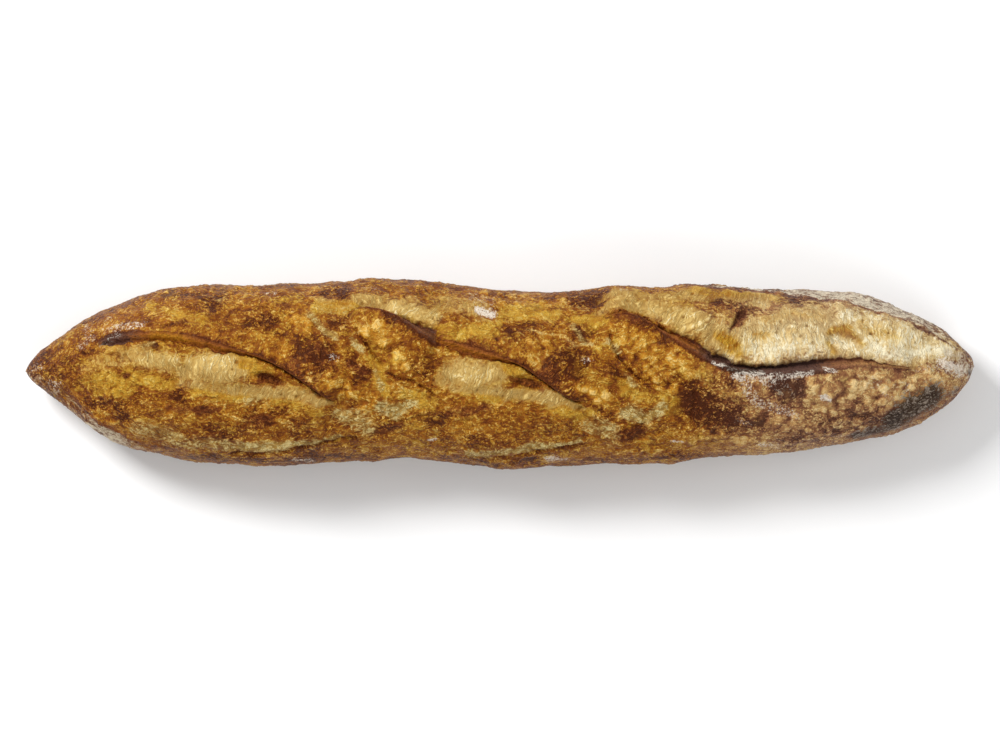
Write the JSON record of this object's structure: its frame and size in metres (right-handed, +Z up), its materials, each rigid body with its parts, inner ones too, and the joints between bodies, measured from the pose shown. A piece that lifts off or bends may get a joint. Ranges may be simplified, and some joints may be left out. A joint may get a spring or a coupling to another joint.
{
  "type": "sourdough baguette",
  "caption": "Long slashed sourdough baguette with tapered ends, torn crust lips over pale crumb, a blistered top and a flat base.",
  "frame": {"origin": "under the middle of the loaf, on the flat base that it rests on", "axes": "+X along the loaf, towards its blunter right end; +Z up, out of the slashed top; +Y across it"},
  "size_m": [0.4002, 0.08, 0.0558],
  "materials": {
    "crust": "baked crust, golden amber with brown and burnt patches, pale torn crumb in the slashes and a dusting of flour"
  },
  "bodies": {
    "root": {"sourdough_loaf": "crust"}
  },
  "joints": []
}
